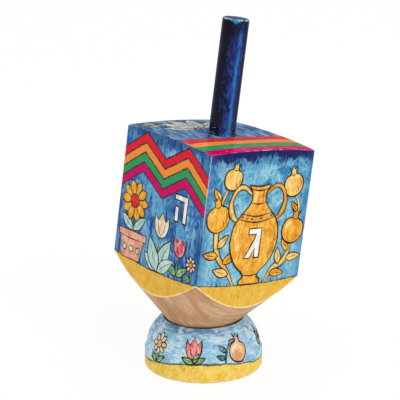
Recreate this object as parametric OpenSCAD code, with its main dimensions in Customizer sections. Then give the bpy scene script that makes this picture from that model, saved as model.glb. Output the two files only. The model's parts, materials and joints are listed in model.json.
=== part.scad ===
// A dreidel of turned and painted wood, leaning in its turned wooden stand.
// Millimetres, +Z up. The origin is the middle of the stand's underside.

/* [Stand] */
// Radius of the stand's foot
stand_r = 22.5; // [21:0.5:28]
// Height of the stand, up to the edge of its hole
stand_h = 19.6; // [17.6:0.2:23]
// Height of the upright band round the foot
band_h = 8; // [6:0.5:10]
// Width of the sloping shoulder between the band and the dome
shoulder_w = 0.8; // [0.4:0.1:1.6]
// Radius of the dome's curve, seen from the side
dome_r = 14.5; // [12:0.5:20]
// Radius of the hole that the dreidel sits in
mouth_r = 14.5; // [12:0.1:16]
// Width of the eased edge round the hole
ease_w = 0.6; // [0.3:0.1:1]
// Rounding of the foot's lower edge
foot_edge_r = 1.2; // [0.4:0.1:2]

/* [Block] */
// Width of the square block
block_w = 50; // [44:1:60]
// Height of the block's flat top above its lower corners
block_h = 50; // [44:1:60]
// Rounding of the block's upright edges
edge_r = 0.6; // [0.3:0.1:2]
// Radius of the flat middle of the top
flat_r = 15; // [8:1:20]
// How far the top is turned down at the block's corners
crown_drop = 1.5; // [0.5:0.1:4]
// Rounding of the point that the dreidel spins on
tip_r = 1.5; // [1:0.1:3]
// Slope of the turned underside, from level
under_slope = 45; // [42:0.5:48]

/* [Stem] */
// Radius of the dowel
stem_r = 5; // [4:0.25:7]
// Length of the dowel above the block
stem_l = 43.6; // [30:1:60]
// Length of the dowel inside the block
tenon_l = 20; // [12:1:26]
// Width of the eased edge at the dowel's ends
stem_ease = 0.4; // [0.2:0.1:1]

/* [Seat] */
// How far the dreidel leans in its stand
lean = 7.5; // [0:0.5:9]
// Compass direction of the lean, from +X towards +Y
lean_dir = 75; // [0:5:355]
// Clearance between the underside and the edge of the hole
seat_gap = 0.2; // [0.1:0.05:0.4]
// Clearance between the point and the floor of the hole
tip_gap = 2; // [1:0.25:2.5]
// Clearance round the glued dowel
glue_gap = 0.05; // [0.03:0.01:0.1]

/* [Hidden] */
$fn = 96;

// How far a cut or a turned blank runs past what it shapes
over = 1;

// The turned underside: a cone whose surface meets the block's lower corners
turn_r = block_w / sqrt(2);
apex_depth = turn_r * tan(under_slope);
tip_depth = apex_depth - tip_r / cos(under_slope);
tip_join_r = tip_r * sin(under_slope);
tip_join_z = -tip_depth - tip_r * cos(under_slope);

// The turned top: flat in the middle, then one curve down to the corners
crown_w = turn_r - flat_r;
crown_r = (crown_w * crown_w + crown_drop * crown_drop) / (2 * crown_drop);

// The eased edge of the hole has the underside's slope
rim_r = mouth_r + ease_w;
ease_h = ease_w * tan(under_slope);

// The leaning cone bears on the hole's edge at both sides: on the lower edge
// of the easing where it is steep, and on the upper edge where it is shallow
steep = tan(under_slope + lean);
shallow = tan(under_slope - lean);
apex_x = (rim_r * shallow - ease_h - mouth_r * steep) / (steep + shallow);
apex_z = stand_h - (rim_r - apex_x) * shallow;
reach = apex_depth + seat_gap / cos(under_slope);
seat_x = apex_x + reach * sin(lean);
seat_z = apex_z + reach * cos(lean);

// The floor of the hole lies below the point of the dreidel
point_z = seat_z - tip_depth * cos(lean) - tip_r;
floor_z = point_z - tip_gap;

// The dome's curve runs from the band's shoulder to the edge of the hole
dome_foot_r = stand_r - shoulder_w;
dome_run = dome_foot_r - rim_r;
dome_rise = stand_h - band_h;
dome_chord = sqrt(dome_run * dome_run + dome_rise * dome_rise);
dome_back = sqrt(dome_r * dome_r - dome_chord * dome_chord / 4);
dome_x = (dome_foot_r + rim_r) / 2 - dome_back * dome_rise / dome_chord;
dome_z = (band_h + stand_h) / 2 - dome_back * dome_run / dome_chord;

// Half profile of the upright band, with its lower edge rounded and its upper
// edge sloped in to meet the dome
module band_profile() {
    square([stand_r - foot_edge_r, foot_edge_r]);
    polygon([
        [0, foot_edge_r],
        [stand_r, foot_edge_r],
        [stand_r, band_h - shoulder_w],
        [dome_foot_r, band_h],
        [0, band_h]
    ]);
    translate([stand_r - foot_edge_r, foot_edge_r])
        intersection() {
            circle(foot_edge_r);
            translate([0, -foot_edge_r]) square(foot_edge_r);
        }
}

// Half profile of the dome above the band
module dome_profile() {
    intersection() {
        translate([dome_x, dome_z]) circle(dome_r);
        translate([0, band_h]) square([stand_r, dome_r + stand_h]);
    }
}

// Half profile of the hole, with its mouth opened out along the easing
module hole_profile() {
    polygon([
        [0, floor_z],
        [mouth_r, floor_z],
        [mouth_r, stand_h - ease_h],
        [rim_r, stand_h],
        [rim_r + dome_r, stand_h + dome_r * tan(under_slope)],
        [0, stand_h + dome_r * tan(under_slope)]
    ]);
}

// The stand: one turned piece, a dome on a band, with a blind hole
module stand() {
    color("lightskyblue")
        rotate_extrude()
            difference() {
                union() {
                    band_profile();
                    dome_profile();
                }
                hole_profile();
            }
}

// Takes a piece of the dreidel from its own upright frame to its leaning seat
module in_seat() {
    translate([seat_x * cos(lean_dir), seat_x * sin(lean_dir), seat_z])
        rotate([0, 0, lean_dir])
            rotate([0, lean, 0])
                rotate([0, 0, -lean_dir])
                    children();
}

// Plan of the square stock, with its upright edges rounded
module stock_plan() {
    inner_w = block_w - 2 * edge_r;
    square([block_w, inner_w], center = true);
    square([inner_w, block_w], center = true);
    for (x = [-1, 1], y = [-1, 1])
        translate([x * inner_w / 2, y * inner_w / 2]) circle(edge_r);
}

// Half profile that the lathe gives the block: rounded point, cone and top
module lathe_profile() {
    lathe_r = turn_r + over;
    middle_z = block_h / 2;
    intersection() {
        translate([0, -tip_depth]) circle(tip_r);
        translate([0, tip_join_z - tip_r]) square([tip_r, tip_r]);
    }
    polygon([
        [0, tip_join_z],
        [tip_join_r, tip_join_z],
        [lathe_r, over * tan(under_slope)],
        [lathe_r, middle_z],
        [0, middle_z]
    ]);
    translate([0, middle_z]) square([flat_r, block_h - middle_z]);
    intersection() {
        translate([flat_r, block_h - crown_r]) circle(crown_r);
        translate([flat_r, middle_z]) square([lathe_r - flat_r, block_h - middle_z]);
    }
}

// The block: square stock turned to a point below and to a low crown on top,
// with a blind hole for the dowel
module block() {
    color("royalblue")
        in_seat()
            difference() {
                intersection() {
                    translate([0, 0, -apex_depth])
                        linear_extrude(apex_depth + block_h) stock_plan();
                    rotate_extrude() lathe_profile();
                }
                translate([0, 0, block_h - tenon_l - glue_gap])
                    cylinder(r = stem_r + glue_gap, h = tenon_l + glue_gap + over);
            }
}

// The stem: a plain dowel, eased at both ends and glued into the block
module stem() {
    color("midnightblue")
        in_seat()
            translate([0, 0, block_h - tenon_l])
                rotate_extrude()
                    polygon([
                        [0, 0],
                        [stem_r - stem_ease, 0],
                        [stem_r, stem_ease],
                        [stem_r, tenon_l + stem_l - stem_ease],
                        [stem_r - stem_ease, tenon_l + stem_l],
                        [0, tenon_l + stem_l]
                    ]);
}

stand();
block();
stem();
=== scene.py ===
# A hand-painted wooden dreidel that leans in its turned and painted stand.
import json
import math

import bmesh
import bpy
from mathutils import Matrix, Vector


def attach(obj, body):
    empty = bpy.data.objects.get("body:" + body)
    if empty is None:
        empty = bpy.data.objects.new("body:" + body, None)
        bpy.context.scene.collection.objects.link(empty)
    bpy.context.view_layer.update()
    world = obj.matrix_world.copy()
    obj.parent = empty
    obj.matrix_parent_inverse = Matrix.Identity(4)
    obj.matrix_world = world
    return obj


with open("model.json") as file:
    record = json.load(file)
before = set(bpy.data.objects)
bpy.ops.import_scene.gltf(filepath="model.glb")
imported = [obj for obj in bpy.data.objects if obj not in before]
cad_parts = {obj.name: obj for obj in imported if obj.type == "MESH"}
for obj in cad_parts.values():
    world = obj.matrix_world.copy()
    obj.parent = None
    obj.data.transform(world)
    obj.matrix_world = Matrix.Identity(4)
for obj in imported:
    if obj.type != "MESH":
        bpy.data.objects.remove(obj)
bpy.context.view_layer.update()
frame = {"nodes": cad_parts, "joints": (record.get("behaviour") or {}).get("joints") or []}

# The camera stands at the right front, a little above the block, with a long
# lens. Its picture is square, 400 by 400.
view_side, view_height = math.radians(51.183), math.radians(16.472)
look_at = Vector((-0.000840, -0.001044, 0.065101))
camera_away = 0.674631
towards_camera = Vector((
    math.sin(view_side) * math.cos(view_height),
    -math.cos(view_side) * math.cos(view_height),
    math.sin(view_height),
))
camera = bpy.data.objects.new("camera", bpy.data.cameras.new("camera"))
camera.data.lens = 162
camera.data.sensor_width = 36
camera.location = look_at + towards_camera * camera_away
camera.rotation_euler = (math.radians(90) - view_height, 0, view_side)
bpy.context.scene.collection.objects.link(camera)
bpy.context.scene.camera = camera

# The stand is one turned piece of wood, a dome on an upright band. It is
# painted with a sky-blue wash over a yellow ground, and varnished. The inside
# of its hole and its underside are left bare.
MM = 0.001
rim_height, mouth_radius = 19.6, 14.5
ground_middle, ground_swing, ground_waves = 6.0, 1.8, 2.0
front_way = math.radians(-39)


def colour(red, green, blue):
    """A colour as a painter reads it off a screen, 0 to 255, made linear."""
    return tuple(
        (c / 255 / 12.92 if c <= 10 else ((c / 255 + 0.055) / 1.055) ** 2.4)
        for c in (red, green, blue)
    ) + (1.0,)


class Finish:
    """One material, built up of washes, lines and grain as shader nodes."""

    def __init__(self, name, roughness=0.36, coat=0.16):
        self.material = bpy.data.materials.new(name)
        self.material.use_nodes = True
        self.tree = self.material.node_tree
        self.shader = self.tree.nodes["Principled BSDF"]
        self.shader.inputs["Roughness"].default_value = roughness
        self.shader.inputs["Coat Weight"].default_value = coat
        self.shader.inputs["Coat Roughness"].default_value = 0.16
        self.shader.inputs["Specular IOR Level"].default_value = 0.0

    def plug(self, socket, value):
        """Sets a socket, or links it where the value comes from a node."""
        if isinstance(value, bpy.types.NodeSocket):
            self.tree.links.new(value, socket)
        else:
            socket.default_value = value

    def add(self, kind, values=(), **settings):
        """A new node, with its inputs in order or by name."""
        node = self.tree.nodes.new("ShaderNode" + kind)
        for key, value in settings.items():
            setattr(node, key, value)
        pairs = values.items() if isinstance(values, dict) else enumerate(values)
        for socket, value in pairs:
            self.plug(node.inputs[socket], value)
        return node

    def place(self, seat=Matrix.Identity(4)):
        """The place on the piece in millimetres, in the frame that seat gives."""
        spot = self.add("TexCoord").outputs["Object"]
        turned = self.add(
            "Mapping", [spot, seat.translation, seat.to_euler(), (MM, MM, MM)],
            vector_type="TEXTURE")
        return turned.outputs[0]

    def split(self, place):
        return self.add("SeparateXYZ", [place]).outputs

    def maths(self, operation, *values):
        return self.add("Math", values, operation=operation).outputs[0]

    def sum(self, *values):
        total = values[0]
        for value in values[1:]:
            total = self.maths("ADD", total, value)
        return total

    def times(self, *values):
        total = values[0]
        for value in values[1:]:
            total = self.maths("MULTIPLY", total, value)
        return total

    def from_axis(self, x, y):
        """How far out from the upright axis a place lies."""
        return self.maths("SQRT", self.sum(self.times(x, x), self.times(y, y)))

    def stretch(self, place, *scale):
        return self.add("VectorMath", [place, scale], operation="MULTIPLY").outputs[0]

    def noise(self, place, scale, detail=3.0, rough=0.55, bend=0.0):
        values = {"Vector": place, "Scale": scale, "Detail": detail,
                  "Roughness": rough, "Distortion": bend}
        return self.add("TexNoise", values).outputs["Fac"]

    def rise(self, value, low, high):
        """Nothing up to low, all from high on, and smooth between them."""
        return self.add("MapRange", [value, low, high, 0.0, 1.0],
                        interpolation_type="SMOOTHSTEP").outputs[0]

    def fall(self, value, low, high):
        """All up to low, nothing from high on, and smooth between them."""
        return self.maths("SUBTRACT", 1.0, self.rise(value, low, high))

    def line(self, distance, half_width, soft=0.1):
        """All where the distance from a line is small."""
        away = self.maths("ABSOLUTE", distance)
        return self.fall(away, self.sum(half_width, -soft), self.sum(half_width, soft))

    def mix(self, share, under, over):
        node = self.add("Mix", data_type="RGBA")
        for index, value in ((0, share), (6, under), (7, over)):
            self.plug(node.inputs[index], value)
        return node.outputs[2]

    def dab(self, under, over, where, share):
        """One colour dabbed over another, where the pattern says and as strongly as share."""
        return self.mix(self.times(where, share), under, over)

    def raise_surface(self, height, depth):
        bump = self.add("Bump", {"Height": height, "Distance": depth * MM,
                                 "Strength": 1.0})
        self.tree.links.new(bump.outputs[0], self.shader.inputs["Normal"])

    def cover(self, node):
        """Gives a solid of the frame this finish."""
        node.data.materials.clear()
        node.data.materials.append(self.material)


ochre, ochre_light, ochre_dark = colour(243, 200, 74), colour(253, 226, 120), colour(222, 154, 30)
wood, wood_light, wood_dark = colour(204, 156, 114), colour(228, 188, 150), colour(178, 128, 92)


def wood_grain(f, place):
    """Bare turned wood: growth rings cut across by the lathe, pores and faint tool marks."""
    rings = f.noise(f.stretch(place, 1.0, 0.1, 0.06), 0.8, 5.0, 0.62, 0.3)
    pores = f.noise(f.stretch(place, 1.2, 1.2, 0.4), 2.2, 3.0, 0.6)
    broad = f.noise(f.stretch(place, 1.0, 0.3, 0.2), 0.16, 3.0, 0.6, 0.6)
    marks = f.noise(f.stretch(place, 0.02, 0.02, 1.0), 1.9, 3.0, 0.6)
    bare = f.mix(f.rise(broad, 0.38, 0.6), wood, wood_light)
    bare = f.dab(bare, wood_dark, f.rise(rings, 0.48, 0.62), 0.42)
    bare = f.dab(bare, wood_light, f.fall(rings, 0.36, 0.46), 0.45)
    bare = f.dab(bare, wood_dark, f.rise(pores, 0.55, 0.68), 0.35)
    return f.dab(bare, wood_dark, f.rise(marks, 0.5, 0.66), 0.25), rings


def ochre_ground(f, place, warm=0.0):
    """Opaque yellow ochre, dabbed on, so it is mottled and slightly spotted."""
    dabs = f.noise(f.stretch(place, 1.0, 1.0, 0.7), 0.5, 5.0, 0.7, 0.6)
    specks = f.noise(place, 2.6, 3.0, 0.6)
    ground = f.mix(f.rise(dabs, 0.38, 0.62), ochre_light, ochre)
    ground = f.dab(ground, ochre_dark, f.rise(dabs, 0.53, 0.7), 0.7)
    ground = f.dab(ground, ochre_dark, f.rise(specks, 0.52, 0.66), 0.6)
    ground = f.dab(ground, ochre_light, f.fall(specks, 0.36, 0.46), 0.5)
    return f.mix(warm, ground, ochre_dark)


stand_finish = Finish("stand wash and ochre")
f = stand_finish
spot = f.place()
x, y, z = f.split(spot)
round_way = f.maths("ARCTAN2", y, x)
out = f.from_axis(x, y)
shake = f.sum(f.noise(spot, 0.22, 2.0), -0.5)

# The sky: two blues, long strokes, a lilac and a sea-green glaze, fine hairs,
# and painted shade in darker strokes near the mouth, under the block
sky_pale, sky_blue = colour(204, 232, 244), colour(140, 200, 226)
stroke_blue, stroke_deep = colour(100, 168, 212), colour(58, 106, 176)
lilac, sea_green = colour(158, 156, 194), colour(110, 186, 200)
hair_white, hair_blue = colour(228, 241, 247), colour(72, 122, 176)
brim_shade_blue, mouth_shadow = colour(72, 108, 158), colour(44, 36, 34)
patches = f.noise(spot, 0.16, 3.0, 0.55, 0.5)
strokes = f.noise(f.stretch(spot, 0.4, 0.4, 1.5), 0.5, 4.0, 0.6, 1.1)
glaze = f.noise(f.stretch(spot, 0.5, 0.5, 1.2), 0.34, 3.0, 0.55, 1.4)
hairs = f.noise(f.stretch(spot, 0.3, 0.3, 1.9), 1.5, 3.0, 0.6, 0.9)
sky = f.mix(f.rise(patches, 0.4, 0.6), sky_pale, sky_blue)
sky = f.dab(sky, stroke_blue, f.rise(strokes, 0.5, 0.64), 0.75)
sky = f.dab(sky, stroke_deep, f.rise(strokes, 0.6, 0.72), 0.75)
sky = f.dab(sky, lilac, f.rise(glaze, 0.55, 0.66), 0.55)
sky = f.dab(sky, sea_green, f.fall(glaze, 0.34, 0.44), 0.6)
sky = f.dab(sky, hair_white, f.rise(hairs, 0.54, 0.65), 0.5)
sky = f.dab(sky, hair_blue, f.fall(hairs, 0.34, 0.44), 0.4)
# Painted shade: darker blue strokes on the dome near its mouth, under the block
brim_shade = f.rise(z, rim_height - 5.1, rim_height - 0.6)
sky = f.dab(sky, brim_shade_blue, f.times(brim_shade, f.rise(strokes, 0.4, 0.62)), 0.6)

# The ochre ground rises and falls twice round the stand, with an inked line,
# tufts of grass, and paint worn off the foot
moss, ground_ink, foot_white = colour(128, 150, 60), colour(70, 76, 62), colour(244, 238, 218)
wave = f.maths("COSINE", f.times(f.sum(round_way, -front_way), ground_waves))
ground_height = f.sum(ground_middle, f.times(wave, ground_swing), f.times(shake, 1.6))
above_ground = f.sum(z, f.times(ground_height, -1.0))
painted = f.mix(f.rise(above_ground, -0.1, 0.1), ochre_ground(f, spot), sky)
grass = f.noise(f.stretch(spot, 1.0, 1.0, 0.3), 0.55, 3.0, 0.6)
tufts = f.times(f.line(f.sum(above_ground, -0.1), 0.55, 0.35), f.rise(grass, 0.55, 0.66))
painted = f.dab(painted, moss, tufts, 0.8)
ground_line = f.line(above_ground, f.sum(0.14, f.times(grass, 0.28)), 0.12)
painted = f.dab(painted, ground_ink, ground_line, 0.85)
painted = f.dab(painted, foot_white, f.times(f.fall(z, 0.5, 1.3), f.rise(grass, 0.38, 0.6)), 0.8)
# A thin dark line painted round the mouth: painted shadow where the dreidel sits
painted = f.dab(painted, mouth_shadow, f.rise(z, rim_height - 0.3, rim_height - 0.15), 0.9)

bare, _ = wood_grain(f, spot)
underside = f.fall(z, 0.02, 0.1)
inside = f.times(f.fall(f.sum(out, f.times(shake, 0.3)), mouth_radius + 0.12, mouth_radius + 0.4),
                 f.rise(z, 3.0, 3.5))
f.plug(f.shader.inputs["Base Color"], f.mix(f.maths("MAXIMUM", underside, inside), painted, bare))
f.plug(f.shader.inputs["Roughness"], f.sum(0.3, f.times(hairs, 0.16)))
f.raise_surface(f.sum(f.times(strokes, 0.6), f.times(hairs, 0.4)), 0.10)
stand = frame["nodes"]["stand"]
stand_finish.cover(stand)

# The block is square stock, turned to a point below and to a low crown on top.
# Its sides are washed in blues over an ochre border, with an inked ground line,
# and the turned underside is left bare. Everything is under clear varnish.
spin = frame["joints"][0]
seat = Vector((0, 0, 1)).rotation_difference(Vector(spin["axis"])).to_matrix().to_4x4()
seat.translation = spin["pos_m"]
half, block_top = 25.0, 50.0
corner_radius, flat_radius, crown_radius = half * math.sqrt(2), 15.0, 138.86
band_start, stripe_width = 6.4, 4.65
zig_pitch, zig_rise, zig_stripe = 25.0, 7.5, 3.7
ink = colour(40, 42, 40)
stripe_colours = [colour(228, 34, 52), colour(243, 148, 62), colour(54, 156, 98), colour(210, 8, 102)]
stripe_count = len(stripe_colours)


def stripes(f, count, value):
    """The colour of the stripe that a count falls in, from 0 on, as bright as value."""
    ramp = f.add("ValToRGB", [f.times(count, 1 / stripe_count)])
    ramp.color_ramp.interpolation = "CONSTANT"
    for i, tint in enumerate(stripe_colours):
        start = i / stripe_count
        stop = ramp.color_ramp.elements[i] if i < 2 else ramp.color_ramp.elements.new(start)
        stop.position, stop.color = start, tint
    return f.add("HueSaturation", {"Value": value, "Color": ramp.outputs[0]}).outputs[0]


def stripe_edges(f, count, width, half_width, soft):
    """The inked line along both edges of each stripe."""
    nearest = f.maths("ABSOLUTE", f.maths("SUBTRACT", count, f.maths("ROUND", count)))
    return f.line(f.times(nearest, width), half_width, soft)


block_finish = Finish("block washes and bare wood")
f = block_finish
spot = f.place(seat)
x, y, z = f.split(spot)
x_away, y_away = f.maths("ABSOLUTE", x), f.maths("ABSOLUTE", y)
out = f.from_axis(x, y)
shake = f.sum(f.noise(spot, 0.28, 2.0), -0.5)
shiver = f.sum(f.noise(spot, 1.1, 2.0), -0.5)
on_y = f.maths("GREATER_THAN", y_away, x_away)
across = f.sum(y, f.times(on_y, f.sum(x, f.times(y, -1.0))))
from_corner = f.maths("SUBTRACT", half, f.maths("MINIMUM", x_away, y_away))
brink = f.maths("SUBTRACT", half, f.maths("MAXIMUM", x_away, y_away))
past_flat = f.maths("MAXIMUM", f.sum(out, -flat_radius), 0.0)
crown = f.sum(block_top, f.times(past_flat, past_flat, -0.5 / crown_radius))
below_top = f.maths("SUBTRACT", crown, z)

# Watery cyan on two opposite sides, paler towards the ground, with blooms and
# pools where the wash dried
cyan_pale, cyan_blue, cyan_low = colour(108, 186, 212), colour(48, 138, 188), colour(136, 196, 220)
bloom_pale, bloom_dark, water_pale = colour(156, 214, 224), colour(34, 118, 176), colour(182, 218, 232)
pool_high, pool_low = colour(32, 106, 166), colour(74, 152, 188)
clouds = f.noise(spot, 0.085, 3.0, 0.5, 0.8)
water = f.noise(f.stretch(spot, 1.0, 1.0, 0.8), 0.3, 6.0, 0.68, 1.0)
blooms = f.noise(spot, 0.13, 3.0, 0.5, 1.3)
near_ground = f.fall(z, 2.0, 30.0)
cyan = f.mix(f.rise(clouds, 0.4, 0.62), cyan_pale, cyan_blue)
cyan = f.dab(cyan, cyan_low, near_ground, 0.6)
cyan = f.dab(cyan, bloom_pale, f.rise(blooms, 0.5, 0.6), 0.55)
cyan = f.dab(cyan, bloom_dark, f.fall(blooms, 0.36, 0.46), 0.5)
cyan = f.dab(cyan, water_pale, f.rise(water, 0.5, 0.64), 0.7)
cyan = f.dab(cyan, f.mix(near_ground, pool_high, pool_low), f.fall(water, 0.36, 0.48), 0.75)

# Deeper blue on the other two, in upright strokes that run to violet
deep_pale, deep_blue, deep_dab = colour(92, 168, 210), colour(34, 108, 176), colour(162, 210, 230)
stroke_blue, stroke_violet = colour(32, 84, 162), colour(42, 38, 116)
strokes = f.noise(f.stretch(spot, 1.0, 1.0, 0.2), 0.5, 4.0, 0.62, 0.5)
deep = f.mix(f.rise(clouds, 0.4, 0.62), deep_pale, deep_blue)
deep = f.dab(deep, deep_dab, f.rise(water, 0.5, 0.64), 0.8)
deep = f.dab(deep, stroke_blue, f.rise(strokes, 0.49, 0.6), 0.7)
deep = f.dab(deep, stroke_violet, f.rise(strokes, 0.55, 0.64), 0.8)

# On all four sides the brush leaves a fine mottle and hairs. Cobalt and navy
# are pulled down from the top edge, less on the deeper sides, and another blue
# comes in from the upright edges
mottle_dark, mottle_pale = colour(20, 84, 150), colour(176, 216, 230)
hair_dark, hair_pale = colour(30, 78, 150), colour(172, 216, 230)
cobalt, navy, side_blue = colour(30, 78, 154), colour(20, 24, 84), colour(34, 84, 156)
hairs = f.noise(f.stretch(spot, 1.0, 1.0, 0.22), 2.1, 3.0, 0.6, 0.3)
mottle = f.noise(f.stretch(spot, 1.0, 1.0, 0.7), 1.3, 4.0, 0.7, 0.6)
near_top = f.fall(below_top, 4.0, 26.0)
less = f.sum(1.0, f.times(on_y, -0.6))
wash = f.mix(on_y, cyan, deep)
wash = f.dab(wash, mottle_dark, f.rise(mottle, 0.51, 0.62), f.sum(0.12, f.times(near_top, 0.36)))
wash = f.dab(wash, mottle_pale, f.times(f.fall(mottle, 0.36, 0.47), less), 0.3)
wash = f.dab(wash, hair_dark, f.rise(hairs, 0.54, 0.68), 0.35)
wash = f.dab(wash, hair_pale, f.fall(hairs, 0.34, 0.43), 0.4)
pull = f.sum(water, f.times(on_y, f.sum(strokes, f.times(water, -1.0))))
cobalt_reach = f.sum(below_top, f.times(pull, -20.0), f.times(clouds, -14.0))
wash = f.dab(wash, cobalt, f.times(f.fall(cobalt_reach, -15.5, -9.5), less), 0.85)
navy_reach = f.sum(below_top, f.times(pull, -14.0), f.times(hairs, -3.0))
wash = f.dab(wash, navy, f.times(f.fall(navy_reach, -6.3, -3.5), less), 0.94)
wash = f.dab(wash, side_blue, f.fall(f.sum(from_corner, f.times(water, -9.0)), -4.2, 0.5), 0.5)

# A band of four zigzag stripes crosses the two deeper sides
along = f.maths("FRACT", f.times(across, 1 / zig_pitch))
zig = f.times(f.maths("ABSOLUTE", f.sum(along, -0.5)), 2.0)
zig_top = f.sum(1.0, f.times(zig, zig_rise))
count = f.times(f.sum(below_top, f.times(zig_top, -1.0), f.times(shake, 0.7)), 1 / zig_stripe)
in_band = f.times(f.maths("GREATER_THAN", count, 0.0), f.maths("LESS_THAN", count, stripe_count), on_y)
tones = stripes(f, count, f.sum(0.56, f.times(hairs, 0.45), f.times(mottle, 0.4)))
sides = f.mix(in_band, wash, tones)
drawn = stripe_edges(f, count, zig_stripe, f.sum(0.33, f.times(shiver, 0.8)), 0.12)
in_lines = f.times(f.maths("GREATER_THAN", count, -0.3),
                   f.maths("LESS_THAN", count, stripe_count + 0.3), on_y)
sides = f.dab(sides, ink, f.times(drawn, in_lines), 0.9)

# The ochre border lies under a sagging ground line with tufts of grass, and
# has a pale edge along its scallops
line_ink, grass_navy, scallop_pale = colour(48, 54, 46), colour(26, 44, 84), colour(250, 238, 196)
across_share = f.times(across, 1 / half)
sag = f.sum(1.0, f.times(across_share, across_share, -1.0))
above_line = f.sum(z, -0.2, f.times(sag, 1.5), f.times(shake, 0.9))
sides = f.mix(f.rise(above_line, -0.08, 0.08), ochre_ground(f, spot, 0.5), sides)
sides = f.dab(sides, line_ink, f.line(above_line, f.sum(0.2, f.times(shiver, 0.5)), 0.1), 0.9)
blades = f.noise(f.stretch(spot, 1.0, 1.0, 0.35), 0.7, 3.0, 0.6, 0.3)
tufts = f.times(f.line(f.sum(above_line, -0.5), 0.75, 0.4), f.rise(blades, 0.57, 0.63))
sides = f.dab(sides, grass_navy, tufts, 0.8)
above_cone = f.sum(z, f.times(out, -1.0), corner_radius)
edge_wobble = f.sum(above_cone, f.times(shiver, 0.5))
pale = f.times(f.line(f.sum(edge_wobble, -0.24), 0.24, 0.14), f.rise(strokes, 0.3, 0.5))
sides = f.dab(sides, scallop_pale, pale, 0.8)

# The upright edges are rubbed through to pale wood above, and inked below
rubbed_pale = colour(196, 218, 230)
rubs = f.sum(f.noise(f.stretch(spot, 1.0, 1.0, 0.5), 0.5, 4.0), f.times(z, 0.006))
rubbed = f.times(f.fall(from_corner, 0.15, 0.4), f.rise(rubs, 0.54, 0.7), f.rise(z, 12.0, 18.0))
sides = f.dab(sides, rubbed_pale, rubbed, 0.75)
inked = f.times(f.fall(from_corner, 0.15, 0.45),
                f.fall(f.sum(z, f.times(shake, 16.0)), 20.0, 24.0), f.rise(z, 0.0, 0.5))
sides = f.dab(sides, ink, inked, 0.85)

# The top has greyer blue strokes, and four straight stripes along one edge
top_pale, top_blue, top_deep = colour(104, 154, 196), colour(44, 98, 158), colour(22, 54, 120)
streak_navy, streak_pale, top_hair = colour(20, 38, 100), colour(182, 204, 220), colour(26, 50, 112)
stripe_pale, worn_pale = colour(250, 214, 200), colour(222, 220, 214)
swirls = f.noise(f.stretch(spot, 0.7, 1.0, 1.0), 0.14, 4.0, 0.58, 1.0)
streaks = f.noise(f.stretch(spot, 0.25, 1.3, 1.0), 0.45, 4.0, 0.62, 0.7)
top = f.mix(f.rise(swirls, 0.4, 0.6), top_pale, top_blue)
top = f.dab(top, top_deep, f.rise(swirls, 0.52, 0.66), 0.8)
top = f.dab(top, streak_navy, f.rise(streaks, 0.5, 0.62), 0.6)
top = f.dab(top, streak_pale, f.fall(streaks, 0.36, 0.46), 0.65)
top = f.dab(top, top_hair, f.rise(hairs, 0.52, 0.64), 0.35)
count = f.times(f.sum(x, -band_start, f.times(shake, 0.7)), 1 / stripe_width)
pulls = f.noise(f.stretch(spot, 2.0, 0.22, 1.0), 0.8, 4.0, 0.62, 0.3)
tones = stripes(f, count, f.sum(0.66, f.times(pulls, 0.64)))
tones = f.dab(tones, stripe_pale, f.rise(pulls, 0.56, 0.7), 0.35)
top = f.mix(f.maths("GREATER_THAN", count, 0.0), top, tones)
drawn = stripe_edges(f, count, stripe_width, f.sum(0.13, f.times(shiver, 0.3)), 0.1)
drawn = f.times(drawn, f.maths("GREATER_THAN", count, -0.3),
                f.maths("LESS_THAN", count, stripe_count - 0.4))
top = f.dab(top, ink, drawn, 0.8)
worn = f.times(f.fall(brink, 0.15, 0.5), f.rise(f.noise(spot, 0.42, 4.0), 0.5, 0.62))
top = f.dab(top, worn_pale, worn, 0.75)

bare, fibres = wood_grain(f, spot)
paint_lap = f.times(f.maths("ABSOLUTE", shiver), -0.7)
is_bare = f.times(f.fall(above_cone, 0.2, 0.3), f.rise(f.sum(brink, paint_lap), 0.0, 0.12))
is_top = f.maths("LESS_THAN", below_top, 0.12)
f.plug(f.shader.inputs["Base Color"], f.mix(is_bare, f.mix(is_top, sides, top), bare))
f.plug(f.shader.inputs["Roughness"], f.sum(0.3, f.times(hairs, 0.14), f.times(is_bare, 0.1)))
f.raise_surface(f.sum(f.times(strokes, 0.5), f.times(hairs, 0.3), f.times(fibres, 0.2)), 0.12)
block = frame["nodes"]["block"]
block_finish.cover(block)

# The figures on the sides are opaque paint on top of the washes: a thin coat
# for each fruit, flower and leaf, drawn round with a brush and dark ink. Two
# opposite sides have a jug between branches, and the other two a garden.
under_surface, one_coat = 0.05, 0.012
over_pot, over_leaves, over_fruit, on_jug, over_jug = 3, 9, 16, 21, 22
seat_mm = seat.copy()
seat_mm.translation = seat.translation / MM
tints = {
    "gold": ((250, 196, 80), (226, 142, 38)),
    "straw": ((254, 222, 138), (240, 178, 76)),
    "rust": ((228, 150, 66), (190, 100, 40)),
    "brick": ((244, 190, 162), (216, 134, 112)),
    "mint": ((210, 232, 222), (158, 200, 190)),
    "cream": ((250, 238, 214), (226, 198, 158)),
    "peach": ((250, 212, 170), (222, 150, 98)),
    "red": ((236, 66, 60), (190, 20, 40)),
    "rose": ((252, 176, 172), (222, 70, 88)),
    "magenta": ((222, 30, 116), (170, 8, 86)),
    "orange": ((248, 170, 80), (226, 114, 40)),
    "leaf": ((176, 216, 160), (72, 146, 98)),
    "teal": ((140, 204, 196), (50, 130, 140)),
    "silver": ((226, 228, 218), (156, 166, 162)),
    "white": ((252, 252, 248), (222, 224, 222)),
    "ink": ((84, 72, 42), (24, 22, 22)),
}


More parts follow.
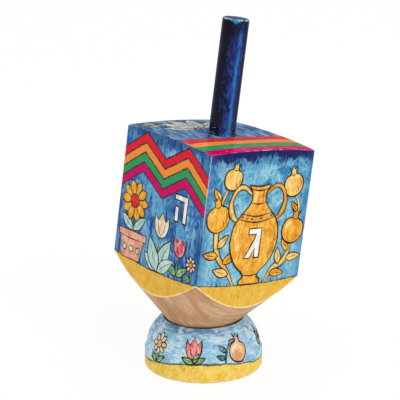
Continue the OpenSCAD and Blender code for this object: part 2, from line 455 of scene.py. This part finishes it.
def paint_finish(tint, body, seat):
    """Brushed opaque paint in two tones of one colour, the same on all of one body."""
    name = tint + " paint on the " + body
    if name in bpy.data.materials:
        return bpy.data.materials[name]
    light, dark = tints[tint]
    f = Finish(name, 0.34)
    spot = f.place(seat)
    brushed = f.noise(f.stretch(spot, 1.0, 1.0, 0.5), 0.36, 4.0, 0.62, 0.9)
    fine = f.noise(f.stretch(spot, 1.0, 1.0, 0.5), 2.2, 3.0, 0.6)
    tone = f.sum(f.times(brushed, 0.6), f.times(fine, 0.4))
    f.plug(f.shader.inputs["Base Color"], f.mix(f.rise(tone, 0.42, 0.58), colour(*light), colour(*dark)))
    f.raise_surface(tone, 0.06)
    return f.material


def moved(points, right, up, size=1.0, turn=0.0):
    """A figure's points, sized, turned and put in their place."""
    cosine, sine = math.cos(math.radians(turn)) * size, math.sin(math.radians(turn)) * size
    return [(right + cosine * a - sine * b, up + sine * a + cosine * b, *corner) for a, b, *corner in points]


def mirrored(points, side):
    """A figure's points, with right and left changed over where side is -1."""
    return [(side * a, b, *corner) for a, b, *corner in points]


def brushed_shape(points, width, closed):
    """The flat mesh of one filled shape, or of one stroke of that width.

    Each point has a place to the right and a place up. A third value marks a
    sharp corner. A stroke is thinner at its ends and swells along the way."""
    curve = bpy.data.curves.new("outline", "CURVE")
    curve.resolution_u = 5
    if width is None:
        curve.dimensions, curve.fill_mode, curve.extrude = "2D", "BOTH", 0.5
    else:
        curve.dimensions, curve.bevel_depth, curve.bevel_resolution = "3D", width / 2, 0
        curve.use_fill_caps = True
    spline = curve.splines.new("BEZIER")
    spline.bezier_points.add(len(points) - 1)
    for i, (knot, (a, b, *corner)) in enumerate(zip(spline.bezier_points, points)):
        knot.co = (a, b, 0)
        knot.handle_left_type = knot.handle_right_type = "VECTOR" if corner else "AUTO"
        end = not closed and i in (0, len(points) - 1)
        knot.radius = 0.45 if end else 1.0 + 0.3 * math.sin(2.3 * i + a)
    spline.use_cyclic_u = closed
    holder = bpy.data.objects.new("outline", curve)
    bpy.context.scene.collection.objects.link(holder)
    flat = bpy.data.meshes.new_from_object(
        holder.evaluated_get(bpy.context.evaluated_depsgraph_get()))
    shape = bmesh.new()
    shape.from_mesh(flat)
    bpy.data.objects.remove(holder)
    bpy.data.curves.remove(curve)
    bpy.data.meshes.remove(flat)
    bmesh.ops.remove_doubles(shape, verts=shape.verts, dist=0.001)
    bmesh.ops.recalc_face_normals(shape, faces=shape.faces)
    if shape.calc_volume(signed=True) < 0:
        bmesh.ops.reverse_faces(shape, faces=shape.faces)
    return shape


def cut_across(shape, step):
    """Cuts a flat shape into squares, so that it can bend round a curved surface."""
    for axis in (0, 1):
        low = min(v.co[axis] for v in shape.verts)
        high = max(v.co[axis] for v in shape.verts)
        for i in range(1, int((high - low) / step) + 1):
            at = Vector((0, 0, 0))
            at[axis] = low + i * step
            bmesh.ops.bisect_plane(
                shape, geom=shape.verts[:] + shape.edges[:] + shape.faces[:],
                plane_co=at, plane_no=Vector((axis == 0, axis == 1, 0)), dist=0.0005)


class Painting:
    """All the figures on one surface, which surface(right, up, height) wraps."""

    def __init__(self, name, surface, seat, cut=None):
        self.name, self.surface, self.seat, self.cut = name, surface, seat, cut
        self.mesh, self.tints, self.coat = bmesh.new(), [], 0

    def lay(self, points, tint, width=None, closed=True):
        """One filled shape or one stroke, a coat above the last one.

        Its underside sinks into the surface, and a stroke is fullest in its middle."""
        if tint not in self.tints:
            self.tints.append(tint)
        self.coat += 1
        lift = one_coat * self.coat
        shape = brushed_shape(points, width, closed)
        if self.cut:
            cut_across(shape, self.cut)
        for v in shape.verts:
            if v.co.z < -0.001:
                height = -under_surface - 0.3 * lift
            elif width is None:
                height = lift
            else:
                height = lift + one_coat * (0.5 if v.co.z > 0.001 else -0.4)
            v.co = self.surface(v.co.x, v.co.y, height) * MM
        for face in shape.faces:
            face.material_index = self.tints.index(tint)
        wrapped = bpy.data.meshes.new("wrapped")
        shape.to_mesh(wrapped)
        shape.free()
        self.mesh.from_mesh(wrapped)
        bpy.data.meshes.remove(wrapped)

    def fill(self, points, tint, line=0.5):
        """A shape with its outline in ink."""
        self.lay(points, tint)
        self.lay(points, "ink", line)

    def stroke(self, points, tint, width, line=0.0):
        """One pull of the brush, with a wider one in ink below it for an outline."""
        if line:
            self.lay(points, "ink", width + 2 * line, closed=False)
        self.lay(points, tint, width, closed=False)

    def dry(self, body):
        """The finished painting as one piece."""
        self.mesh.normal_update()
        mesh = bpy.data.meshes.new(self.name)
        self.mesh.to_mesh(mesh)
        self.mesh.free()
        for tint in self.tints:
            mesh.materials.append(paint_finish(tint, body, self.seat))
        piece = bpy.data.objects.new(self.name, mesh)
        bpy.context.scene.collection.objects.link(piece)
        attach(piece, body)


fruit = [(0.26, 0.95), (0.74, 0.68), (1.0, 0.02), (0.74, -0.68), (0.0, -1.0), (-0.74, -0.68),
         (-1.0, 0.02), (-0.74, 0.68), (-0.26, 0.95), (-0.4, 1.5, 1), (-0.13, 1.24, 1),
         (0.0, 1.56, 1), (0.14, 1.24, 1), (0.42, 1.48, 1)]
leaf = [(0.0, 0.0, 1), (0.28, 0.2), (0.62, 0.2), (1.0, 0.0, 1), (0.66, -0.14), (0.3, -0.19)]
gleam = [(-0.2, 0.66, 1), (-0.62, 0.4), (-0.78, -0.1, 1), (-0.5, 0.12), (-0.3, 0.36)]
pot = [(-1.0, 0.0, 1), (-1.3, 1.5, 1), (-1.52, 1.5, 1), (-1.52, 2.0, 1), (1.52, 2.0, 1), (1.52, 1.5, 1),
       (1.3, 1.5, 1), (1.0, 0.0, 1)]
tulip = [(-0.95, 0.95, 1), (-0.5, 0.4, 1), (0.0, 1.15, 1), (0.5, 0.4, 1), (0.95, 0.95, 1),
         (0.88, -0.2), (0.45, -0.88), (0.0, -1.0), (-0.45, -0.88), (-0.88, -0.2)]
jug = [(4.9, -1.0, 1), (5.0, 0.5), (3.5, 1.7), (3.8, 2.9), (7.8, 6.6), (10.8, 12.0), (11.4, 17.4),
       (9.8, 23.0), (5.8, 27.4), (3.5, 30.6), (3.4, 33.6), (5.0, 36.8, 1)]
jug += [(0.0, 36.2)] + mirrored(jug[::-1], -1)
petal = [(0.2, 0.0, 1), (0.58, 0.22), (0.9, 0.16), (1.02, 0.0), (0.9, -0.16), (0.58, -0.22)]
disc = [(math.cos(i * math.pi / 4), math.sin(i * math.pi / 4)) for i in range(8)]
letter_width, letter_height = 6.0, 9.0
letters = {
    "gimel": [[(0.4, 9.2, 1), (5.2, 9.2, 1), (5.2, 0.2, 1), (3.3, 0.2, 1), (3.3, 3.2, 1), (1.7, 0.2, 1),
               (-0.5, 0.2, 1), (2.8, 5.8, 1), (3.3, 7.4, 1), (0.4, 7.4, 1)]],
    "hey": [[(-0.4, 9.0, 1), (6.2, 9.0, 1), (6.2, 0.0, 1), (4.3, 0.0, 1), (4.3, 7.1, 1), (-0.4, 7.1, 1)],
            [(0.2, 0.0, 1), (2.1, 0.0, 1), (2.1, 5.0, 1), (0.2, 5.0, 1)]],
    "nun": [[(1.0, 9.0, 1), (4.8, 9.0, 1), (4.8, 0.0, 1), (0.0, 0.0, 1), (0.0, 1.9, 1), (2.9, 1.9, 1),
             (2.9, 7.1, 1), (1.0, 7.1, 1)]],
    "shin": [[(-0.8, 9.0, 1), (1.0, 9.0, 1), (1.5, 1.9, 1), (2.3, 1.9, 1), (2.1, 9.0, 1), (3.9, 9.0, 1),
              (3.9, 1.9, 1), (4.7, 1.9, 1), (5.0, 9.0, 1), (6.8, 9.0, 1), (6.1, 0.0, 1), (-0.1, 0.0, 1)]],
}


def letter(painting, name, right, up, size=1.12):
    """One of the four traditional letters, with its middle at a place."""
    left, bottom = right - letter_width / 2 * size, up - letter_height / 2 * size
    for part in letters[name]:
        painting.fill(moved(part, left, bottom, size), "white", 0.68)


def pomegranate(painting, right, up, radius, turn=0.0, tint="gold"):
    """A round fruit with its crown, a gleam on the left and two ribs on the right."""
    painting.fill(moved(fruit, right, up, radius, turn), tint)
    painting.lay(moved(gleam, right, up, radius, turn), "straw")
    for out, foot, head in ((0.66, -0.5, 0.5), (0.36, -0.72, -0.2)):
        rib = [(out, head), (out + 0.12, 0.5 * (foot + head)), (out - 0.08, foot)]
        painting.stroke(moved(rib, right, up, radius, turn), "rust", 0.5)
    crown = [(-0.28, 0.86), (0.0, 0.78), (0.28, 0.86)]
    painting.lay(moved(crown, right, up, radius, turn), "ink", 0.34, closed=False)


def sprig(painting, stem, tint, leaves, width=0.7, side=1):
    """A stem with leaves: each is a place, a length, a direction and a tint. side -1 mirrors it."""
    painting.coat = 0
    painting.stroke(mirrored(stem, side), tint, width, 0.36)
    for i, (right, up, length, turn, leaf_tint) in enumerate(leaves):
        right, turn = side * right, turn if side > 0 else 180 - turn
        painting.coat = 2 + 2 * (i % 3)
        painting.fill(moved(leaf, right, up, length, turn), leaf_tint, 0.42)
        vein = [(0.12, 0.0), (0.5, 0.02), (0.82, 0.0)]
        painting.lay(moved(vein, right, up, length, turn), "ink", 0.22, closed=False)


def daisy(painting, right, up, radius, petals, tint, heart, turn=0.0):
    """Petals round a heart, every second one over its neighbours."""
    first = painting.coat
    for i in range(petals):
        painting.coat = first + 2 * (i % 2)
        painting.fill(moved(petal, right, up, radius, turn + 360 * i / petals), tint, 0.38)
    painting.coat = first + 4
    painting.fill(moved(disc, right, up, radius * 0.34), heart, 0.34)


def tulip_head(painting, right, up, size, tint, spread=0.4, foot=-0.8, line=0.3):
    """A tulip's flower, with two inked folds that meet at its foot."""
    painting.fill(moved(tulip, right, up, size), tint)
    for out in (-spread, spread):
        fold = [(out, 0.3), (0.8 * out, -0.3), (0.0, foot)]
        painting.stroke(moved(fold, right, up, size), "ink", line)


def jug_and_fruit(painting, name, side):
    """A golden oil jug between branches of fruit. side is 1, or -1 to mirror them."""
    left_branch = [(-7.6, -1.0), (-11.6, 5.0), (-16.6, 11.0), (-18.4, 21.0), (-17.6, 30.0), (-15.0, 36.0)]
    sprig(painting, left_branch, "straw",
          [(-10.4, 3.4, 8.2, 164, "straw"), (-14.0, 7.8, 8.0, 26, "gold"), (-16.4, 10.8, 7.4, 172, "gold"),
           (-17.2, 13.6, 7.0, 46, "straw"), (-18.0, 31.4, 6.4, 126, "gold")], 1.7, side)
    sprig(painting, [(7.6, -1.0), (10.8, 4.0), (16.2, 7.0), (18.6, 14.0)], "straw",
          [(9.6, 2.6, 7.4, -6, "gold"), (13.6, 5.4, 7.0, 100, "straw"),
           (16.8, 7.6, 7.4, 6, "straw"), (17.8, 10.4, 6.4, 128, "gold")], 1.7, side)
    sprig(painting, [(19.6, 22.0), (20.4, 28.0), (17.2, 33.0)], "straw",
          [(20.2, 25.4, 5.6, 132, "gold")], 1.3, side)
    for right, up, radius, turn, tint in (
            (-18.4, 25.0, 5.3, 8, "gold"), (-13.4, 39.4, 4.2, -12, "straw"),
            (18.6, 18.6, 5.2, -10, "gold"), (16.4, 36.0, 4.6, 10, "straw")):
        painting.coat = over_leaves
        pomegranate(painting, side * right, up, radius, side * turn, tint)
    for way in (-1, 1):
        handle = [(3.6, 33.4), (8.8, 36.2), (12.6, 32.4), (12.2, 26.4), (9.0, 23.0)]
        painting.coat = over_fruit
        painting.stroke(mirrored(handle, way), "straw" if way * side < 0 else "gold", 1.8, 0.45)
    painting.fill(jug, "gold", 0.6)
    for light in ([(-8.9, 11.5, 1), (-9.7, 16.8), (-8.4, 21.4, 1), (-7.2, 17.0), (-7.4, 13.0)],
                  [(-2.2, 29.6, 1), (-2.4, 34.6, 1), (-1.2, 34.4), (-1.3, 30.4)]):
        painting.lay(mirrored(light, side), "straw")
    for shade in ([(9.0, 10.4), (9.9, 16.2), (8.9, 21.0)], [(7.6, 8.4), (8.5, 12.0), (8.6, 14.6)],
                  [(2.2, 29.0), (1.9, 32.0), (2.2, 34.6)]):
        painting.coat = on_jug
        painting.stroke(mirrored(shade, side), "rust", 1.0)
    for ring in ([(-3.6, 30.2), (0.0, 29.5), (3.6, 30.2)], [(-7.4, 26.1), (0.0, 24.9), (7.4, 26.1)],
                 [(-9.0, 24.2), (0.0, 22.6), (9.0, 24.2)], [(-3.7, 2.7), (0.0, 2.2), (3.7, 2.7)],
                 [(-4.8, 35.4), (0.0, 34.6), (4.8, 35.4)]):
        painting.coat = over_jug
        painting.lay(ring, "ink", 0.45, closed=False)
    for i in range(-3, 4):
        painting.coat = over_jug
        painting.lay(moved(disc, 2.3 * i, 23.75 + 0.13 * i * i, 0.5), "magenta" if i % 2 else "leaf")
    painting.coat = over_jug
    letter(painting, name, side * 0.4, 14.4, 1.25)


def garden(painting, name, side):
    """Flowers under the zigzag band, with the letter above them. side -1 mirrors them."""
    pot_right, pot_up, pot_size = side * -14.6, -0.8, 5.4
    painting.fill(moved(pot, pot_right, pot_up, pot_size), "brick")
    rim = [(-1.3, 1.5), (0.0, 1.44), (1.3, 1.5)]
    painting.lay(moved(rim, pot_right, pot_up, pot_size), "ink", 0.4, closed=False)
    for i in (-1, 0, 1):
        painting.coat = over_pot
        painting.fill(moved(disc, side * (-14.6 + 4.0 * i), 3.2, 1.15), "mint" if i else "cream", 0.34)
    sprig(painting, [(-14.6, 10.2), (-14.2, 14.0), (-15.0, 20.0)], "leaf",
          [(-14.4, 10.6, 9.0, 42, "mint"), (-14.6, 10.6, 9.0, 146, "mint")], 0.8, side)
    painting.coat = over_leaves
    daisy(painting, side * -15.2, 21.6, 7.6, 10, "gold", "red")
    sprig(painting, [(2.0, -1.6), (1.6, 5.0), (2.2, 13.0)], "leaf",
          [(2.0, -1.2, 15.0, 66, "mint"), (1.8, -1.2, 14.0, 116, "mint"),
           (2.0, -1.0, 11.0, 36, "mint"), (1.8, -1.0, 10.0, 146, "mint")], 0.9, side)
    painting.coat = over_leaves
    tulip_head(painting, side * 2.0, 16.4, 4.4, "cream", 0.45, -0.85, 0.36)
    sprig(painting, [(13.4, -0.8), (13.0, 4.0), (13.6, 8.6)], "leaf",
          [(13.2, 0.6, 7.6, 148, "leaf"), (13.2, 0.6, 7.4, 36, "leaf")], 0.7, side)
    painting.coat = over_leaves
    tulip_head(painting, side * 13.6, 11.4, 3.6, "rose")
    sprig(painting, [(21.4, -0.4), (21.6, 2.4), (21.2, 5.0)], "leaf",
          [(21.4, 0.4, 4.6, 146, "leaf")], 0.6, side)
    painting.coat = over_leaves
    daisy(painting, side * 21.0, 7.0, 2.9, 8, "cream", "orange", 12)
    painting.coat = 0
    letter(painting, name, side * 11.6, 25.4)


def on_side(turn):
    """The side of the block that is turned so far from the one with the hey."""
    face = seat_mm @ Matrix.Rotation(math.radians(turn), 4, "Z")

    def surface(right, up, height):
        return face @ Vector((right, -half - height, up))
    return surface


for name, turn, design, side in (("gimel", 90, jug_and_fruit, 1), ("hey", 0, garden, 1),
                                 ("nun", 180, garden, -1), ("shin", 270, jug_and_fruit, -1)):
    painting = Painting(name + "_side_painting", on_side(turn), seat)
    design(painting, name, side)
    painting.dry("dreidel")

# A spray of silver-grey leaves lies on the blue part of the top, behind the
# stem, with green ones in the two far corners. It is painted like the figures
# on the sides, and bends with the crown.


def on_top(right, up, height):
    """A place on the crowned top, with up towards the side away from the stripes."""
    local = Vector((-up, right, 0))
    past = max(local.length - flat_radius, 0.0)
    local.z = block_top - past * past / 2 / crown_radius + height
    return seat_mm @ local


top_painting = Painting("top_painting", on_top, seat, 2.0)
for start, way, long in ((-1.0, 164, 13.5), (-0.6, 134, 15.5), (0.0, 104, 15.5),
                         (0.6, 74, 15.0), (1.0, 44, 13.0)):
    top_painting.coat = 2 if way in (134, 74) else 0
    right = start - 3.0 + 2.0 * math.cos(math.radians(way))
    up = 7.6 + 2.0 * math.sin(math.radians(way))
    top_painting.fill(moved(leaf, right, up, long, way), "silver", 0.42)
    vein = [(0.1, 0.0), (0.5, 0.02), (0.86, 0.0)]
    top_painting.lay(moved(vein, right, up, long, way), "ink", 0.26, closed=False)
for way in (-1, 1):
    sprig(top_painting, [(12.0, 13.0), (16.0, 15.8), (21.0, 21.0)], "leaf",
          [(14.6, 15.0, 6.0, 84, "leaf"), (16.0, 16.0, 6.0, 10, "cream"),
           (17.6, 17.6, 6.0, 70, "cream"), (18.4, 18.6, 5.4, 24, "leaf")], 0.5, way)
top_painting.dry("dreidel")

# Small flowers and fruit stand round the dome of the stand, on its ground line.
# They are thin coats of the same opaque paint, inked round, and bend with the
# dome and the band below it.
dome_radius, dome_out, dome_up = 14.5, 7.211, 7.434
band_radius, band_height, shoulder = 22.5, 8.0, 0.8
flower_turns = (-52, -10, 36, 80, 125, 170, 216, 262)


def on_dome(way):
    """The outside of the stand, with right going round from that direction."""
    def surface(right, up, height):
        turn = way + right / band_radius
        if up < band_height:
            reach = band_radius + height - max(up - band_height + shoulder, 0.0)
        else:
            reach = dome_out + math.sqrt(dome_radius ** 2 - (up - dome_up) ** 2) + height
        return Vector((reach * math.cos(turn), reach * math.sin(turn), up))
    return surface


for i, turn in enumerate(flower_turns):
    way = front_way + math.radians(turn)
    ground = ground_middle + ground_swing * math.cos(ground_waves * (way - front_way))
    painting = Painting("stand_flower_%d" % (i + 1), on_dome(way), Matrix.Identity(4), 1.2)
    if i % 4 == 0:
        sprig(painting, [(0.0, ground), (0.3, ground + 2.0), (0.0, 10.5)], "leaf",
              [(0.0, ground + 0.6, 4.6, 30, "leaf"), (0.0, ground + 0.6, 4.6, 150, "leaf")], 0.5)
        daisy(painting, 0.0, 12.6, 3.9, 8, "cream", "peach")
    elif i % 4 == 1:
        sprig(painting, [(0.0, ground), (-0.3, ground + 1.5), (0.0, 10.2)], "leaf",
              [(0.0, ground + 0.2, 5.2, 22, "leaf"), (0.0, ground + 0.2, 5.2, 158, "leaf"),
               (0.0, ground + 0.2, 4.4, 60, "leaf"), (0.0, ground + 0.2, 4.4, 120, "leaf")], 0.5)
        tulip_head(painting, 0.0, 12.9, 3.5, "rose")
    elif i % 4 == 2:
        sprig(painting, [(-5.4, ground + 0.3), (-4.8, 11.0), (-2.4, 15.4)], "teal",
              [(-4.6, 11.6, 4.2, 140, "teal"), (-3.4, 14.0, 4.0, 20, "teal"),
               (-5.2, 9.2, 4.0, 160, "teal")], 0.6)
        painting.fill(moved(fruit, 0.6, 11.2, 3.9, -8), "peach")
        painting.lay(moved(gleam, 0.6, 11.2, 3.9, -8), "cream")
    else:
        sprig(painting, [(0.0, ground), (0.4, 10.0), (-0.4, 14.6)], "leaf",
              [(0.1, 8.8, 4.4, 40, "leaf"), (0.2, 9.6, 4.4, 140, "leaf"), (0.1, 11.6, 3.8, 46, "teal"),
               (0.0, 12.2, 3.8, 134, "teal"), (-0.3, 14.0, 2.8, 92, "leaf")], 0.5)
    painting.dry("stand")

# The stem is a plain dowel, painted in near-black blue with brighter blue
# breaking through, under a thick gloss varnish. Light is painted into its
# colour too: a painted highlight streak with painted shade beside it, three
# times round, painted shade under its top end, a painted glint below the top
# edge and painted glints near the foot. Its top edge is painted pale, partly
# as wear and partly as a painted highlight.
stem_top = 93.6
highlight_way, highlights_round = front_way + math.radians(27), 3.0
night, indigo, azure, violet = colour(7, 7, 16), colour(36, 56, 138), colour(26, 84, 164), colour(62, 74, 170)
midnight, highlight_blue = colour(12, 10, 40), colour(46, 136, 208)
shadow_blue, cap_shadow, glint_blue = colour(8, 8, 20), colour(8, 8, 22), colour(52, 150, 212)
glint_speck, rim_wear_and_highlight = colour(200, 214, 228), colour(176, 218, 234)
end_blue, end_dark = colour(34, 58, 116), colour(10, 12, 34)
stem_finish = Finish("stem gloss", 0.2, 0.25)
f = stem_finish
f.shader.inputs["Coat Roughness"].default_value = 0.06
spot = f.place(seat)
x, y, z = f.split(spot)
round_way = f.maths("ARCTAN2", y, x)
out = f.from_axis(x, y)
blots = f.noise(f.stretch(spot, 1.0, 1.0, 0.4), 0.26, 4.0, 0.6, 1.6)
hairs = f.noise(f.stretch(spot, 1.0, 1.0, 0.12), 1.6, 3.0, 0.6, 0.4)
fine = f.noise(f.stretch(spot, 1.0, 1.0, 0.6), 1.0, 4.0, 0.68, 0.8)
sway = f.sum(f.noise(f.stretch(spot, 0.3, 0.3, 1.0), 0.07, 1.0), -0.5)
turned = f.sum(f.times(f.sum(round_way, -highlight_way), highlights_round), f.times(sway, 1.6))
# Dark blots of paint, mixed with a painted sheen: brighter blue lined up round the stem with the painted
# highlight
blots_and_sheen = f.sum(f.times(f.maths("COSINE", turned), 0.7), f.times(f.sum(blots, -0.5), 4.6), 0.1)
blue = f.mix(f.rise(blots_and_sheen, -0.5, 0.7), night, indigo)
blue = f.dab(blue, azure, f.rise(f.sum(blots_and_sheen, f.times(fine, 1.2)), 1.0, 1.7), 0.7)
blue = f.dab(blue, midnight, f.rise(fine, 0.46, 0.56), 0.6)
blue = f.dab(blue, violet, f.fall(fine, 0.36, 0.44), 0.35)
# Painted highlight: a bright streak down the stem, three times round
highlight_streak = f.sum(f.maths("COSINE", turned), f.times(f.sum(hairs, -0.5), 0.3), f.times(f.sum(fine, -0.5), 0.2))
blue = f.dab(blue, highlight_blue, f.times(f.rise(highlight_streak, 0.86, 1.04), f.rise(blots, 0.3, 0.5)), 0.8)
shadow = f.sum(f.maths("COSINE", f.sum(turned, -2.1)), f.times(f.sum(blots, -0.5), 1.4))
blue = f.dab(blue, shadow_blue, f.rise(shadow, 0.5, 0.8), 0.85)
blue = f.dab(blue, cap_shadow, f.rise(f.sum(z, f.times(blots, 16.0)), 93.0, 98.0), 0.8)
# Painted glint: a bright patch just below the top edge, facing the front and twice more round
facing = f.maths("COSINE", f.times(f.sum(round_way, -front_way), highlights_round))
painted_glint = f.sum(facing, f.times(f.sum(fine, -0.5), 1.6), f.times(f.sum(z, -stem_top), 0.4))
blue = f.dab(blue, glint_blue, f.rise(painted_glint, 0.2, 0.6), 0.75)
# Painted glints: pale specks near the foot of the stem
specks =f.times(f.rise(f.noise(spot, 1.9, 2.0), 0.62, 0.68), f.fall(z, block_top + 1.0, block_top + 6.0))
blue = f.dab(blue, glint_speck, specks, 0.8)
end = f.mix(f.rise(fine, 0.42, 0.6), end_blue, end_dark)
blue = f.mix(f.rise(z, stem_top - 0.1, stem_top - 0.02), blue, end)
# The top edge painted pale, partly as wear and partly as a painted highlight
rim = f.times(f.rise(out, 4.35, 4.6), f.rise(z, stem_top - 0.5, stem_top - 0.25),
              f.rise(f.noise(spot, 0.5, 2.0), 0.38, 0.54))
f.plug(f.shader.inputs["Base Color"], f.dab(blue, rim_wear_and_highlight, rim, 0.85))
f.raise_surface(f.sum(f.times(blots, 0.6), f.times(hairs, 0.4)), 0.10)
stem = frame["nodes"]["stem"]
stem_finish.cover(stem)

# Glue and paint have gathered in the corner where the stem enters the block,
# as a small bead that runs all round.
bead = bmesh.new()
corner = [bead.verts.new(seat_mm @ Vector((reach, 0, block_top + above)) * MM)
          for reach, above in ((4.9, -0.05), (5.95, -0.05), (5.9, 0.06), (5.45, 0.2),
                               (5.16, 0.5), (5.06, 0.95), (4.9, 1.0))]
section = [bead.edges.new((corner[i - 1], corner[i])) for i in range(len(corner))]
stem_way = seat.to_3x3() @ Vector((0, 0, 1))
bmesh.ops.spin(bead, geom=corner + section, cent=seat.translation, axis=stem_way,
               angle=2 * math.pi, steps=96, use_merge=True)
bmesh.ops.remove_doubles(bead, verts=bead.verts, dist=1e-6)
bmesh.ops.recalc_face_normals(bead, faces=bead.faces)
if bead.calc_volume(signed=True) < 0:
    bmesh.ops.reverse_faces(bead, faces=bead.faces)
for face in bead.faces:
    face.smooth = True
bead_mesh = bpy.data.meshes.new("stem_bead")
bead.to_mesh(bead_mesh)
bead.free()
bead_mesh.materials.append(stem_finish.material)
stem_bead = bpy.data.objects.new("stem_bead", bead_mesh)
bpy.context.scene.collection.objects.link(stem_bead)
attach(stem_bead, "dreidel")

# The object stands on a plain pale floor. Its paper shows white where the
# camera, gloss or glass see it, but for a fifth, which keeps the shadow.
floor_size, floor_share, floor_strength = 8, 0.8, 1.05


def shown_white(tree, lit, white, share):
    """Turns one shader into another for the rays that show the background.

    Those are the camera's own and the ones through glass or off a gloss."""
    nodes, links = tree.nodes, tree.links
    rays = nodes.new("ShaderNodeLightPath")
    seen = rays.outputs["Is Camera Ray"]
    for kind in ("Is Transmission Ray", "Is Glossy Ray"):
        either = nodes.new("ShaderNodeMath")
        either.operation = "MAXIMUM"
        links.new(seen, either.inputs[0])
        links.new(rays.outputs[kind], either.inputs[1])
        seen = either.outputs[0]
    part = nodes.new("ShaderNodeMath")
    part.operation = "MULTIPLY"
    part.inputs[1].default_value = share
    links.new(seen, part.inputs[0])
    blend = nodes.new("ShaderNodeMixShader")
    for i, source in enumerate((part, lit, white)):
        links.new(source.outputs[0], blend.inputs[i])
    return blend.outputs[0]


bpy.ops.mesh.primitive_plane_add(size=floor_size, location=(0, 0, 0))
floor = bpy.context.object
floor.name = "floor"
floor_paper = bpy.data.materials.new("floor paper")
floor_paper.use_nodes = True
tree = floor_paper.node_tree
paper, glow = tree.nodes["Principled BSDF"], tree.nodes.new("ShaderNodeEmission")
paper.inputs["Base Color"].default_value = (0.9, 0.9, 0.9, 1)
paper.inputs["Roughness"].default_value = 0.9
glow.inputs["Strength"].default_value = floor_strength
tree.links.new(shown_white(tree, paper, glow, floor_share), tree.nodes["Material Output"].inputs[0])
floor.data.materials.append(floor_paper)

# A pale sky lights it all round and shows as white, and one large soft lamp
# stands at the right.
world = bpy.data.worlds.new("studio")
bpy.context.scene.world = world
world.use_nodes = True
tree = world.node_tree
sky_light, white = tree.nodes["Background"], tree.nodes.new("ShaderNodeBackground")
sky_light.inputs["Color"].default_value = (1.0, 1.0, 1.0, 1)
sky_light.inputs["Strength"].default_value = 0.82
white.inputs["Strength"].default_value = 1.0
tree.links.new(shown_white(tree, sky_light, white, 1.0), tree.nodes["World Output"].inputs[0])

lit_middle = Vector((0, 0, 0.07))
lamp = bpy.data.objects.new("soft_lamp", bpy.data.lights.new("soft_lamp", "AREA"))
lamp.data.shape, lamp.data.size, lamp.data.size_y = "RECTANGLE", 0.7, 0.9
lamp.data.energy = 3.8
lamp.location = (1.05, -0.15, 0.75)
lamp.rotation_euler = (lit_middle - lamp.location).to_track_quat("-Z", "Y").to_euler()
bpy.context.scene.collection.objects.link(lamp)

bpy.context.scene.view_settings.view_transform = "Standard"
